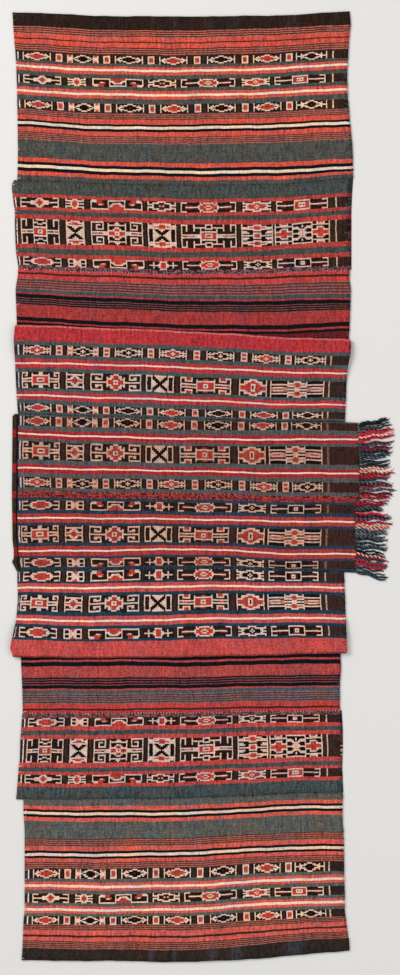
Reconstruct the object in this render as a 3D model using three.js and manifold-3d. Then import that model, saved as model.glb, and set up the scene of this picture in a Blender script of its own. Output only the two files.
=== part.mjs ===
// Ikat cloth: a long tube cloth of eight loom panels, laid flat with its fringe to the right.
// Each panel is one loom cloth turned over on itself along its left edge, so it lies in two layers.
// Two panels also hold a flat tuck: the cloth doubles back under its own fold and comes out again.
// Sizes are millimetres. X runs across the cloth, Y up its length, and Z up from the surface.
import * as THREE from 'three';
import Module from 'manifold-3d';

// Cloth and its layers
const THICK = 1.1; // one layer of heavy hand-spun cloth
const LAYER_GAP = 0.5; // air between the two layers of a panel
const SEAM_GAP = 0.3; // between neighbouring pieces
const STEP = THICK + LAYER_GAP; // from the middle of one layer to the middle of the next
const TUBE = STEP + THICK; // height of a panel's two layers
const FLOOR = TUBE / 2; // height of a panel's middle where it lies on the surface

// Tucks
const TUCK_DEPTH = 25; // how far the cloth runs back under its own fold
const TUCK_GAP = 0.4; // air between the stacked parts of a tuck
const TUCK_STEP = TUBE + TUCK_GAP; // from the middle of one stacked part to the next
const TURN = TUCK_STEP / 2; // radius of a tuck's turn, at the panel's middle
const STACK = FLOOR + 2 * TUCK_STEP; // height of the panel's middle on top of a tuck
const TUCK_TAIL = 6; // level stretch past the hidden fold, before the cloth comes down
const SLOPE = 46; // length of the stretch that comes down to the surface
const SLOPE_ROWS = 4;

// Grid of a panel
const FRONT_COLUMNS = 10;
const BACK_COLUMNS = 8;
const TURN_STEPS = 4; // flat sides in each half turn

// Fringe
const STRANDS = 22; // in each layer of each fringed panel
const STRAND_WIDE = 1.6;
const STRAND_HIGH = 1.3;
const STRAND_TIP = 0.6; // width and height of a strand's end, as a share of its root's
const STRIP_WIDE = 2; // the narrow strip that the strands' roots are fused into
const ROOT_DEPTH = 1; // how far a root runs into its strip
const DROP_START = 4; // from the cloth's edge, where an upper strand starts to come down
const DROP_END = 16; // where it lies on the surface
const SHORTEST = 36;
const LENGTH_SPREAD = 26; // the longest strand is this much longer than the shortest
const SWAY = 1.2; // how far the strands' ends wander sideways
const SWAY_PITCH = 30; // along the edge, from one bunch of ends to the next

// Where the heights of the lines below are given, across the cloth
const STATIONS = [-307, -168, 0, 127, 236];

// Heights of the seams between neighbouring panels
const HEM_SEAM_UPPER = [506, 500, 497, 499, 509];
const BAND_SEAM_UPPER = [359, 354, 350, 353, 358];
const TUCK_SEAM_UPPER = [120, 116, 111, 108, 107];
const MIDDLE_SEAM = [-14, -16, -18, -22, -23];
const TUCK_SEAM_LOWER = [-139, -136, -134, -137, -141];
const BAND_SEAM_LOWER = [-374, -374, -372, -370, -369];
const HEM_SEAM_LOWER = [-516, -515, -513, -507, -504];

// A line across a panel. left and right are the cloth's edges there, under is the right edge of the
// layer below, and heights are the line's Y at the stations.
const line = (left, right, under, heights) => ({ left, right, under, heights });

const HEM_UPPER = [
  line(-315, 241, 241, [783, 777, 776, 778, 784]),
  line(-309, 237, 237, [722, 715, 714, 717, 724]),
  line(-305, 238, 238, [627, 623, 620, 623, 629]),
  line(-305, 243, 243, [574, 569, 567, 569, 573]),
  line(-308, 246, 246, HEM_SEAM_UPPER),
];
const BAND_UPPER = [
  line(-317, 238, 245, HEM_SEAM_UPPER),
  line(-312, 239, 244, [441, 436, 432, 436, 440]),
  line(-305, 240, 243, BAND_SEAM_UPPER),
];
const TUCK_UPPER = {
  way: -1,
  seam: line(-307, 241, 241, BAND_SEAM_UPPER),
  stripes: line(-311, 241, 241, [317, 310, 304, 305, 307]),
  fold: line(-312, 242, 242, [267, 262, 255, 247, 243]),
  foot: line(-309, 233, 233, [153, 148, 143, 137, 136]),
  far_seam: line(-304, 233, 233, TUCK_SEAM_UPPER),
};
const FRINGED_UPPER = [
  line(-316, 254, 254, TUCK_SEAM_UPPER),
  line(-316, 256, 256, [61, 56, 52, 53, 51]),
  line(-317, 256, 256, MIDDLE_SEAM),
];
const FRINGED_LOWER = [
  line(-317, 249, 249, MIDDLE_SEAM),
  line(-316, 249, 249, [-78, -78, -80, -83, -84]),
  line(-311, 248, 248, TUCK_SEAM_LOWER),
];
const TUCK_LOWER = {
  way: 1,
  seam: line(-299, 224, 224, BAND_SEAM_LOWER),
  stripes: line(-300, 224, 224, [-330, -330, -328, -325, -325]),
  fold: line(-318, 235, 235, [-281, -282, -280, -277, -274]),
  foot: line(-309, 233, 233, [-193, -194, -191, -191, -193]),
  far_seam: line(-306, 231, 231, TUCK_SEAM_LOWER),
};
const BAND_LOWER = [
  line(-300, 224, 229, BAND_SEAM_LOWER),
  line(-304, 224, 229, [-435, -435, -432, -428, -426]),
  line(-310, 227, 230, HEM_SEAM_LOWER),
];
const HEM_LOWER = [
  line(-298, 229, 229, HEM_SEAM_LOWER),
  line(-296, 229, 229, [-606, -607, -603, -596, -595]),
  line(-296, 230, 230, [-696, -698, -695, -686, -685]),
  line(-299, 238, 238, [-761, -763, -763, -751, -744]),
  line(-300, 240, 240, [-781, -782, -783, -775, -765]),
];

// Broad lifts of the upper layer, where the cloth doesn't lie quite flat
const lift = (x, y, halfWide, halfLong, height) => ({ x, y, halfWide, halfLong, height });
const LIFTS = [
  lift(60, 735, 190, 55, 1.2),
  lift(-140, 545, 150, 70, 1.0),
  lift(120, 430, 140, 60, 0.9),
  lift(-120, 50, 160, 60, 0.9),
  lift(90, -75, 150, 55, 0.9),
  lift(-60, -450, 170, 70, 1.1),
  lift(20, -745, 130, 60, 1.6),
];

// How the strands fan out, by their root's height: slope is rise over run
const FAN = [
  { y: -142, slope: -0.3 },
  { y: -100, slope: -0.09 },
  { y: -20, slope: 0 },
  { y: 60, slope: 0.04 },
  { y: 106, slope: 0.22 },
];

const mix = THREE.MathUtils.lerp;
const smooth = (t) => t * t * (3 - 2 * t);

// A line's height at x: a smooth curve through its stations, going straight on past both ends
function heightAt(heights, x) {
  const last = STATIONS.length - 1;
  const rise = (i) => (heights[i + 1] - heights[i]) / (STATIONS[i + 1] - STATIONS[i]);
  const slope = (i) => (rise(Math.max(i - 1, 0)) + rise(Math.min(i, last - 1))) / 2;
  const near = x < STATIONS[last] ? Math.max(STATIONS.findIndex((station) => station > x) - 1, 0) : last;
  if (near === last || x < STATIONS[0]) return heights[near] + slope(near) * (x - STATIONS[near]);
  const span = STATIONS[near + 1] - STATIONS[near];
  const t = (x - STATIONS[near]) / span;
  const bend = (slope(near) * (1 - t) - slope(near + 1) * t) * span * t * (1 - t);
  return mix(heights[near], heights[near + 1], smooth(t)) + bend;
}

function liftAt(x, y) {
  let sum = 0;
  for (const one of LIFTS) {
    const away = Math.hypot((x - one.x) / one.halfWide, (y - one.y) / one.halfLong);
    sum += away < 1 ? one.height * smooth(1 - away) : 0;
  }
  return sum;
}

function volume(geometry) {
  const place = geometry.getAttribute('position');
  const index = geometry.getIndex().array;
  const corner = (i) => new THREE.Vector3().fromBufferAttribute(place, index[i]);
  let sum = 0;
  for (let i = 0; i < index.length; i += 3) {
    sum += corner(i).dot(corner(i + 1).cross(corner(i + 2))) / 6;
  }
  return sum;
}

// A closed mesh through like sections. An end is closed by pairing the section's first half with its second.
function loft(sections) {
  const count = sections[0].length;
  const faces = [];
  const quad = (a, b, c, d) => {
    if (a !== d) faces.push(a, c, d);
    if (b !== c) faces.push(a, b, c);
  };
  for (let first = 0; first < (sections.length - 1) * count; first += count) {
    for (let i = 0; i < count; i++) {
      const next = (i + 1) % count;
      quad(first + i, first + next, first + count + next, first + count + i);
    }
  }
  const end = (sections.length - 1) * count;
  for (let i = 0; i + 1 < count - 1 - i; i++) {
    const far = count - 1 - i;
    quad(i, far, far - 1, i + 1);
    quad(end + i, end + i + 1, end + far - 1, end + far);
  }
  const geometry = new THREE.BufferGeometry();
  const points = sections.flat().flatMap((point) => point.toArray());
  geometry.setAttribute('position', new THREE.Float32BufferAttribute(points, 3));
  geometry.setIndex(faces);
  if (volume(geometry) < 0) geometry.setIndex(faces.reverse());
  return geometry;
}

// A row of a panel lies along a line, moved by shift in Y, with its middle at height z. faceY and
// faceZ are the direction that the cloth's upper face looks in there.
const row = (at, shift = 0, z = FLOOR, faceY = 0, faceZ = 1) => ({ at, shift, z, faceY, faceZ });

function between(first, second, t) {
  return {
    left: mix(first.left, second.left, t),
    right: mix(first.right, second.right, t),
    under: mix(first.under, second.under, t),
    heights: first.heights.map((height, i) => mix(height, second.heights[i], t)),
  };
}

// Middle of the cloth along a panel's section, from the right end of the upper layer, round the left
// edge, to the right end of the layer below. awayX and awayUp are the direction out of the section.
function course(at) {
  const half = STEP / 2;
  const centre = at.left + half + THICK / 2;
  const path = [];
  for (let i = 0; i < FRONT_COLUMNS; i++) {
    path.push({ x: mix(at.right, centre, i / FRONT_COLUMNS), up: half, awayX: 0, awayUp: 1, upper: 1 });
  }
  for (let i = 0; i <= TURN_STEPS; i++) {
    const turn = (Math.PI * i) / TURN_STEPS;
    const awayX = -Math.sin(turn);
    const awayUp = Math.cos(turn);
    path.push({ x: centre + half * awayX, up: half * awayUp, awayX, awayUp, upper: 0 });
  }
  for (let i = 1; i <= BACK_COLUMNS; i++) {
    path.push({ x: mix(centre, at.under, i / BACK_COLUMNS), up: -half, awayX: 0, awayUp: -1, upper: 0 });
  }
  return path;
}

function panelSection({ at, shift, z, faceY, faceZ }) {
  const skin = (side) => (point) => {
    const x = point.x + side * point.awayX;
    const y = heightAt(at.heights, x) + shift;
    const up = point.up + side * point.awayUp + point.upper * liftAt(x, y);
    return new THREE.Vector3(x, y + up * faceY, z + up * faceZ);
  };
  const path = course(at);
  return [...path.map(skin(THICK / 2)), ...path.map(skin(-THICK / 2)).reverse()];
}

const panel = (rows) => loft(rows.map(panelSection));

// A panel that lies flat all the way, from its upper seam to its lower one
function flatPanel(lines) {
  const rows = lines.map((at) => row(at));
  rows[0].shift = -SEAM_GAP / 2;
  rows[rows.length - 1].shift = SEAM_GAP / 2;
  return panel(rows);
}

// Rows round a half turn that lifts the cloth onto the next part of the stack. middle is the turn's
// centre, past the fold's line. side is 1 where the cloth turns from its lower run and -1 from its upper.
function turnRows(at, middle, z, way, side) {
  const rows = [];
  for (let i = 0; i <= TURN_STEPS; i++) {
    const turn = (Math.PI * i) / TURN_STEPS;
    const faceY = -way * Math.sin(turn);
    const faceZ = side * Math.cos(turn);
    rows.push(row(at, middle - side * TURN * faceY, z - side * TURN * faceZ, faceY, faceZ));
  }
  return rows;
}

// A panel with a tuck: from its seam along the surface and under the fold, back up to the fold, over
// it, and down to the surface again. way is the direction in Y in which it sets out.
function tuckPanel({ way, seam, stripes, fold, foot, far_seam }) {
  const tucked = { ...stripes, heights: fold.heights };
  const rows = [
    row(seam, way * SEAM_GAP / 2),
    row(stripes),
    ...turnRows(tucked, way * TUCK_DEPTH, FLOOR + TURN, way, 1),
    ...turnRows(fold, way * (TURN + TUBE / 2), FLOOR + TUCK_STEP + TURN, way, -1),
  ];
  const run = Math.abs(foot.heights[2] - fold.heights[2]);
  for (let i = 0; i <= SLOPE_ROWS; i++) {
    const t = i / SLOPE_ROWS;
    const at = between(fold, foot, (TUCK_DEPTH + TUCK_TAIL + SLOPE * t) / run);
    const tilt = Math.atan(((STACK - FLOOR) * 6 * t * (1 - t)) / SLOPE);
    rows.push(row(at, 0, mix(STACK, FLOOR, smooth(t)), way * Math.sin(tilt), Math.cos(tilt)));
  }
  rows.push(row(foot), row(far_seam, -way * SEAM_GAP / 2));
  return panel(rows);
}

const wasm = await Module();
wasm.setup();

function toSolid(geometry) {
  const vertProperties = geometry.getAttribute('position').array;
  const triVerts = Uint32Array.from(geometry.getIndex().array);
  return new wasm.Manifold(new wasm.Mesh({ numProp: 3, vertProperties, triVerts }));
}

function fuse(geometries) {
  const whole = geometries.map(toSolid).reduce((sum, one) => sum.add(one));
  const { vertProperties, triVerts } = whole.getMesh();
  const geometry = new THREE.BufferGeometry();
  geometry.setAttribute('position', new THREE.BufferAttribute(vertProperties, 3));
  geometry.setIndex(new THREE.BufferAttribute(triVerts, 1));
  return geometry;
}

// The narrow strip along a fringed edge, at the height of one layer
function strip(lines, base) {
  const last = lines.length - 1;
  const sections = lines.map(({ right, heights }, i) => {
    const inset = (i === 0 ? -SEAM_GAP : i === last ? SEAM_GAP : 0) / 2;
    const y = heightAt(heights, right) + inset;
    const near = right + SEAM_GAP;
    const far = near + STRIP_WIDE;
    const corners = [[near, base], [far, base], [far, base + THICK], [near, base + THICK]];
    return corners.map(([x, z]) => new THREE.Vector3(x, y, z));
  });
  return loft(sections);
}

function fanSlope(y) {
  const next = Math.max(FAN.findIndex((one) => one.y >= y), 1);
  const low = FAN[next - 1];
  const high = FAN[next];
  return mix(low.slope, high.slope, (y - low.y) / (high.y - low.y));
}

// One strand from its root in the strip to its end on the surface. base is the strip's underside.
function strand(edge, rootY, base, length) {
  const slope = fanSlope(rootY);
  const sway = SWAY * Math.sin((2 * Math.PI * rootY) / SWAY_PITCH);
  const runs = [SEAM_GAP + STRIP_WIDE - ROOT_DEPTH, DROP_START, DROP_END, mix(DROP_END, length, 0.5), length];
  const sections = runs.map((run) => {
    const size = mix(1, STRAND_TIP, run / length);
    const low = base * (1 - smooth(THREE.MathUtils.clamp((run - DROP_START) / (DROP_END - DROP_START), 0, 1)));
    const y = rootY + slope * run + sway * (run / length) ** 2;
    const half = (size * STRAND_WIDE) / 2;
    return [
      new THREE.Vector3(edge + run, y - half, low),
      new THREE.Vector3(edge + run, y + half, low),
      new THREE.Vector3(edge + run, y, low + size * STRAND_HIGH),
    ];
  });
  return loft(sections);
}

// A layer's strands and the strip that holds them. phase sets them between the other layer's strands.
function fringe(lines, base, phase) {
  const ends = lines.map(({ right, heights }) => ({ x: right, y: heightAt(heights, right) }));
  const pieces = [strip(lines, base)];
  for (let i = 0; i < STRANDS; i++) {
    const rootY = mix(ends[0].y, ends[ends.length - 1].y, (i + phase) / STRANDS);
    const next = ends.findIndex((one) => one.y < rootY);
    const share = (rootY - ends[next].y) / (ends[next - 1].y - ends[next].y);
    const edge = mix(ends[next].x, ends[next - 1].x, share);
    const uneven = 0.5 + 0.3 * Math.sin(2.4 * i + 9 * phase) + 0.2 * Math.sin(5.3 * i);
    pieces.push(strand(edge, rootY, base, SHORTEST + LENGTH_SPREAD * uneven));
  }
  return fuse(pieces);
}

const cloth = new THREE.Group();

function add(name, geometry, color) {
  const material = new THREE.MeshStandardMaterial({ color, roughness: 0.9, metalness: 0 });
  const mesh = new THREE.Mesh(geometry, material);
  mesh.name = name;
  cloth.add(mesh);
}

const BRIGHT_RED = 0xcd5046;
const CRIMSON = 0xb9323a;
const TEAL = 0x3c4b4b;
const BLUE = 0x234b5f;

add('hem_panel_upper', flatPanel(HEM_UPPER), BRIGHT_RED);
add('band_panel_upper', flatPanel(BAND_UPPER), TEAL);
add('tuck_panel_upper', tuckPanel(TUCK_UPPER), CRIMSON);
add('fringed_panel_upper', flatPanel(FRINGED_UPPER), CRIMSON);
add('fringed_panel_lower', flatPanel(FRINGED_LOWER), BLUE);
add('tuck_panel_lower', tuckPanel(TUCK_LOWER), CRIMSON);
add('band_panel_lower', flatPanel(BAND_LOWER), TEAL);
add('hem_panel_lower', flatPanel(HEM_LOWER), BRIGHT_RED);
add('fringe_front_upper', fringe(FRINGED_UPPER, STEP, 0.25), CRIMSON);
add('fringe_back_upper', fringe(FRINGED_UPPER, 0, 0.75), BLUE);
add('fringe_front_lower', fringe(FRINGED_LOWER, STEP, 0.25), CRIMSON);
add('fringe_back_lower', fringe(FRINGED_LOWER, 0, 0.75), BLUE);

// The origin is on the surface, under the middle of the whole
const box = new THREE.Box3().setFromObject(cloth);
cloth.position.set(-(box.min.x + box.max.x) / 2, -(box.min.y + box.max.y) / 2, -box.min.z);

export default cloth;
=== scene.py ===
import math

import bpy
import numpy as np
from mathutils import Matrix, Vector


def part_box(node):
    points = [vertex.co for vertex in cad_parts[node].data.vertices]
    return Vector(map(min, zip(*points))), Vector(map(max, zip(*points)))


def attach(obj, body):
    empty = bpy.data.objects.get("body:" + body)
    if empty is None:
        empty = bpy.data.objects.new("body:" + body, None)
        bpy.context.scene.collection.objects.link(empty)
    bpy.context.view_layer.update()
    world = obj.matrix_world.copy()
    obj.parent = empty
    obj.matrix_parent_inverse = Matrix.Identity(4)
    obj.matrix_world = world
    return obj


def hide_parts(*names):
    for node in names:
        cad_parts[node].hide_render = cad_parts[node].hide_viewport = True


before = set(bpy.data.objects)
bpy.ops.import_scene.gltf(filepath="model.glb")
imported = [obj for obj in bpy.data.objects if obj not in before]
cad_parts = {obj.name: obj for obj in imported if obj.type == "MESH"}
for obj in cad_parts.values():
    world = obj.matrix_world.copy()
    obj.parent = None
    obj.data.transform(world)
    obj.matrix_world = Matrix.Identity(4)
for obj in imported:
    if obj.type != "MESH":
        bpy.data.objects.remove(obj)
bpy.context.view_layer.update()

# Ikat tube cloth: eight loom panels laid flat in two layers, with their stripes, ikat bands, seams and
# fringe. Sizes are millimetres, as in the model. X runs across the cloth, Y up its length, Z up.
MM = 0.001
DICE = np.random.default_rng(7)

# Cloth and tucks, as the model has them
THICK = 1.1
LAYER_GAP = 0.5
SEAM_GAP = 0.3
STEP = THICK + LAYER_GAP
TUBE = STEP + THICK
FLOOR = TUBE / 2
TUCK_DEPTH = 25
TUCK_GAP = 0.4
TUCK_STEP = TUBE + TUCK_GAP
TURN = TUCK_STEP / 2
STACK = FLOOR + 2 * TUCK_STEP
TUCK_TAIL = 6
SLOPE = 46
FOLD_SHOWN = TURN + TUBE / 2 + TUCK_GAP  # how far into its stripes a tuck's own turn reaches

# Grid of a panel: columns at the left of the ikat blocks, under them, and at their right
MARGIN_CELLS = 6
BLOCK_CELLS = 185
END_CELLS = 16
BLOCKS_END = MARGIN_CELLS + BLOCK_CELLS
CELLS = BLOCKS_END + END_CELLS
TURN_STEPS = 6
BACK_COLUMNS = 12
ROW_HIGH = 8  # a wider stripe is divided into rows
FINE_ROW = 2.2  # and a dotted or speckled one into these
PLAIN_START = 12  # where the blocks' columns start in rows that never have blocks, in from the left edge
PLAIN_END = 40  # and where they end, in from the right edge

STATIONS = np.array([-307, -168, 0, 127, 236])

HEM_SEAM_UPPER = [506, 500, 497, 499, 509]
BAND_SEAM_UPPER = [359, 354, 350, 353, 358]
TUCK_SEAM_UPPER = [120, 116, 111, 108, 107]
MIDDLE_SEAM = [-14, -16, -18, -22, -23]
TUCK_SEAM_LOWER = [-139, -136, -134, -137, -141]
BAND_SEAM_LOWER = [-374, -374, -372, -370, -369]
HEM_SEAM_LOWER = [-516, -515, -513, -507, -504]
FOLD_UPPER = [267, 262, 255, 247, 243]
FOLD_LOWER = [-281, -282, -280, -277, -274]

# Colours of the yarns, as red, green and blue out of 255
YARNS = {
    "red": (208, 85, 70),
    "crimson": (186, 48, 56),
    "rust": (150, 58, 57),
    "brown": (132, 70, 68),
    "white": (244, 216, 192),
    "cream": (240, 214, 184),
    "teal": (78, 78, 73),
    "grey": (66, 70, 70),
    "blue": (36, 60, 76),
    "dark": (60, 38, 34),
    "black": (16, 20, 26),
    "pink": (184, 100, 84),
    "plum": (82, 46, 42),
    "rosy": (174, 100, 86),
    "mauve": (142, 88, 86),
    # maroon is a yarn in the blocks and also the painted shade of the red under each tuck's fold
    "maroon": (100, 32, 34),
    "slate": (98, 100, 106),
    "hem": (44, 31, 25),
    # The pale colour painted along the hems' creases as a highlight
    "hem_crease_highlight": (70, 66, 68),
    "ground": (52, 35, 27),
    "pattern": (238, 200, 172),
    "end_bar": (232, 196, 168),
    "pattern_red": (182, 60, 47),
    "pattern_pink": (184, 116, 100),
    "pattern_dark": (24, 13, 11),
    "between": (38, 24, 19),
    "bar": (236, 222, 210),
    "strip": (54, 43, 32),
    "strip_red": (150, 38, 40),
    # gap is painted shade: the near-black column in the gap at the fringed panels' left edge
    "gap": (20, 13, 12),
    # The fold edge's colour is painted light: a highlight along the upper tuck's fold
    "fold_edge": (206, 104, 102),
    "scarlet": (196, 46, 62),
    "wine": (140, 28, 40),
    "smoke": (34, 36, 42),
    "steel": (56, 66, 80),
    # A pale grey ply that stands in for glints on the dark fringe: painted highlight
    "glint_grey": (98, 108, 118),
    "sand": (240, 205, 176),
    "dot": (226, 178, 172),
}
# Where a panel's yarns are another shade
SHADES = {
    "band_panel_upper": {
        "red": (178, 66, 60), "teal": (71, 75, 71), "ground": (54, 37, 29), "plum": (64, 42, 46),
        "mauve": (126, 82, 88), "pattern": (218, 186, 167), "pattern_red": (186, 62, 52),
        "end_bar": (214, 182, 156),
    },
    "tuck_panel_upper": {
        "red": (194, 66, 62), "rust": (162, 58, 56), "slate": (74, 76, 80), "brown": (128, 70, 68),
        "crimson": (178, 53, 58), "white": (234, 206, 190), "grey": (75, 83, 83), "plum": (88, 46, 45),
        "ground": (55, 37, 32), "pattern": (216, 181, 165), "pattern_red": (174, 56, 50),
        "bar": (196, 200, 214), "end_bar": (186, 150, 130),
    },
    "fringed_panel_upper": {
        "crimson": (164, 42, 48), "white": (240, 214, 194), "grey": (84, 84, 83), "ground": (58, 35, 30),
        "pattern": (200, 158, 138), "pattern_red": (160, 58, 52), "bar": (190, 180, 190),
        "end_bar": (116, 80, 64),
    },
    "fringed_panel_lower": {
        "crimson": (168, 58, 55), "white": (240, 214, 196), "blue": (42, 60, 74), "ground": (58, 37, 33),
        "pattern": (208, 166, 145), "pattern_red": (160, 60, 52), "bar": (190, 180, 190),
        "end_bar": (118, 84, 68),
    },
    "tuck_panel_lower": {
        "red": (190, 66, 64), "rust": (172, 72, 69), "slate": (82, 84, 90), "brown": (136, 70, 70),
        "crimson": (194, 78, 74), "white": (246, 220, 200), "blue": (32, 60, 76), "mauve": (126, 96, 96),
        # The fold edge is darker here: painted shade along the lower tuck's fold
        "plum": (76, 54, 52), "fold_edge": (150, 62, 60), "ground": (58, 38, 33),
        "pattern": (226, 194, 177), "pattern_red": (180, 64, 54), "bar": (196, 190, 200),
        "end_bar": (190, 156, 134),
    },
    "band_panel_lower": {
        "red": (187, 72, 69), "teal": (69, 77, 78), "ground": (54, 37, 32), "plum": (64, 42, 46),
        "mauve": (126, 82, 88), "pattern": (219, 190, 175), "pattern_red": (180, 62, 54),
        "end_bar": (206, 174, 150),
    },
    "hem_panel_lower": {
        "red": (212, 94, 82), "white": (244, 218, 200), "cream": (238, 210, 182), "teal": (93, 92, 87),
        "pattern": (242, 207, 182), "pattern_red": (184, 64, 54), "ground": (50, 36, 30), "hem": (50, 40, 34),
        # A bluer painted highlight along this hem's creases
        "hem_crease_highlight": (78, 84, 98),
    },
}


def tone(colour):
    """A colour out of 255 as linear light, by the sRGB standard's curve."""
    share = np.asarray(colour, float) / 255
    return np.where(share <= 0.04045, share / 12.92, ((share + 0.055) / 1.055) ** 2.4)


def yarn(node, name):
    """A yarn's colour in one panel."""
    return tone(SHADES.get(node, {}).get(name, YARNS[name]))


# The small ikat blocks, charted one by one. Each is the upper left quarter of its block, and its last column
# and row are the block's middle ones. w is white, p pink, r red, m maroon, k black, and a dot is dark.
CHARTS = {
    "diamond": ["w......ww", "w..w.wwrr", "w.wwwrrrr", "wwwrrrrrr"],
    "dark_diamond": ["w......ww", "w..w.wwkk", "w.wwwkkkk", "wwwkkkkkm"],
    "corner_diamond": ["wrrw....ww", "wppw..wwkk", "wwww.wwkkk", "wwwwwkkkkk"],
    "last_diamond": ["w.......ww", "w..w..wwkk", "w..wwwwkkk", "wwwwwkkkkm"],
    "square": ["ww", "wp", "wr", "wr"],
    "eye_diamond": ["w......ww", "w.w.wwwrr", "wwwwwrrrw", "w.w.rrrww"],
    "dark_eye_diamond": ["w......ww", "w.w.wwwkk", "wwwwwkkkw", "w.w.kkkww"],
    "corner_eye_diamond": ["wrrw....ww", "wwww..wwkk", "wwwwwwkkkw", "wrrwkkkkww"],
    "last_eye_diamond": ["w.......ww", "w.w..wwwkk", "wwwwwwkkkw", "w.w.wkkkww"],
    "pair_square": ["ww", "wr", "wr", "ww"],
    "arms_taper": ["wwww......ww", "w........wwr", "w.....wwwwrr", "wwwwwwwwwrrr"],
    "arms_block": ["w...ww", "wwwwwr", "...wrr", "wwwwrr"],
    "dark_lens": ["w.....www", "w..wwww..", "wwww...mm", "...w..mwm"],
    "arms_hexagon": ["wwww.......w.wwww", "w..........wwrrrr", "w..mmmm...wrrrrww", "w..wwwwwwwwrrrwkr"],
    "long_lens": ["w.....www", "wwwwwwwrr", "..wwrrrrw", "wwwrrrrwr"],
    "arms_box": ["wwww......wwwwww", "w.........wrrrrr", "w..mmm....wrrwww", "wwwwwwwwwwwrrwkw"],
    "arms_rhomb": ["wwww.....www", "w.....wwwrrr", "w....wwrrrrr", "wwwwwwwrrrrr"],
    "paired_holes": ["wwwwrr", "wkkwwr", "wkkwww", "wwwwww"],
    "arrow": ["......www", "..w...wrr", "..w..wwrr", "wwwwwwwrr"],
    "dark_long_lens": ["w.....www", "wwwwwwwkk", "..wwkkkkw", "wwwkkkkwm"],
    "arms_dark_box": ["wwww......wwwwww", "w.........wkkkkk", "w..mmm....wkkmww", "wwwwwwwwwwwkkmwm"],
    "hooks_box": [
        "wwww...w.www", "w..w...wkkkk", "w..w...wwwkk", "w..w...wkkww", "w..w...wkkkk", "w......wwwww",
        "w......wrrrr", "wwwwwwwwrrww", "wrrw.kkwrrwk",
    ],
    "crossed": [
        "w..www", "wwwwrr", "wwrrrr", "wwwwww", "wkkkww", "wwkkkw", "wwwkkk", "wwwwkk", "wwwwwk",
    ],
    "double_key": [
        "wwwwwwww.......w", "w......w..w...ww", "w..www.w..wwwwww", "w..w...w..w.....",
        "w..w...w..wkkkww", "w..wwwww..wkkwrr", "w.........wwwwrr", "wwwwwwwwwwwrrrww",
        "w.rrr..wwwwrrrwk",
    ],
    "barred_cross": [
        "w..wwwwww", "wwwwwwwrr", "wwwwrrrrr", "wwwwwwwrr", "wkkwkkkww", "wkkwwkkkw", "wkkwwwkkk",
        "wkkwwwwkk", "wkkwwwwwk",
    ],
    "long_hooks_box": [
        "wwww...w......www", "w..w...w......wkk", "w..w...wwwwwwwwkk", "w..w...w...w..www",
        "w..w...w...wkkkkk", "w..........wwwwww", "w..........wrrrrr", "wwwwwwwwwwwwrrwww",
        "w..pppp.wwwwrrwkk",
    ],
    "stepped": [
        "wkkkkkkwww", "wkkkwwwwrr", "wwwwwrrrrr", "wwwwwwwwrr", "wkkkkkkwww", "wwwwkkkkkk",
        "wwwwwkkwww", "wkkkkkkwrr", "wwwwwwwwrr",
    ],
    "lattice": [
        "wkkwrrrwkkwwwwwww", "wkkwwwwwkkwkkkkkk", "wwwwwwwwwwwkkkkkw", "wkkkkkkkkkwwwwkkw",
        "wkkkwwwwkkwwwwwkk", "wkkwrrrwkkwkkkwww", "wwwwrrrwwwwkkkkwp", "wrrrrrrrrrwkkkwww",
        "wrrrrrrrrrwwwwwwp",
    ],
    "hook_box_low": [
        "wwww......ww", "w..w..w...ww", "w.ww..wwwwww", "w.....wrrrrr", "wwwwwwwrrwww", "wppp..wrrwkk",
    ],
    "red_block": ["w.....", "wwwwww", "w...ww", "w..wwr", "wwwwrr", "wrrrrr"],
    "key_cross": [
        "wwwwwwww......ww", "w......w....wwrr", "w..ww..w..w.wwrr", "w..wwwww..wwwrrr",
        "w.........wrrrww", "wwwwwwwwwwwrrrwk",
    ],
    "barred_cross_low": ["wwwwkwwww", "w..wkkwww", "w..wkkkww", "w..wwkkkw", "w..wwwkkk", "w..wwwwkk"],
    "corner_hooks_box": [
        "wwwwrrrw........", "w..wrrrw..w...rr", "w..wwwww..wwwwww", "w.........wrrrrr",
        "wwwwwwwwwwwrrrww", "w..rrr....wrrrwk",
    ],
    "stepped_rhomb": ["w.....www", "w..wwwwrr", "w..wwrrrr", "wwwwrrrww", "wrrrrrrwk", "wrrrrrrwk"],
    "long_hexagons": [
        "wkkkkkkkkkw...www", "wkkkkkkkkkwwwwwrr", "wwwwwwwwwwwppprrr", "wkkkkkkkkkwwwwwrr",
        "wpwwwwwwppkkkkkww", "wpprrrrpppwwwwwww",
    ],
}
EVEN = ("square", "pair_square")  # these mirror without a middle column
# The meander of the key bands mirrors only from left to right, and is turned over in every other band
MEANDER = [
    "wwwwwwwwwwwrrrrr", "w.........wrrrrr", "w.........wwwrrr", "w....wwr..w.wwrr", "w...rrrr..w..www",
    "wwwwrrr...w.....", ".wwwrrr...wwwwww",
]



def spaced(kind, between):
    """The blocks of a band of diamonds, with a small block between each two of them."""
    blocks = []
    for which in ("", "corner_", "dark_", "", "dark_", "", "last_"):
        blocks += [which + kind, between]
    return blocks[:-1]


KEYS = ["arms_taper", "arms_block", "meander", "dark_lens", "arms_hexagon", "long_lens", "arms_box"]
DARK_KEYS = [
    "arms_rhomb", "paired_holes", "meander", "arrow", "arms_hexagon", "dark_long_lens", "arms_dark_box",
]
# The blocks of each ikat band, from left to right
BANDS = {
    "diamonds": spaced("diamond", "square"),
    "eyes": spaced("eye_diamond", "pair_square"),
    "keys": KEYS,
    "keys_over": KEYS,
    "dark_keys": DARK_KEYS,
    "dark_keys_over": DARK_KEYS,
    "wide": ["hooks_box", "crossed", "double_key", "barred_cross", "long_hooks_box", "stepped", "lattice"],
    "middle": [
        "hook_box_low", "red_block", "key_cross", "barred_cross_low", "corner_hooks_box", "stepped_rhomb",
        "long_hexagons",
    ],
}
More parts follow.
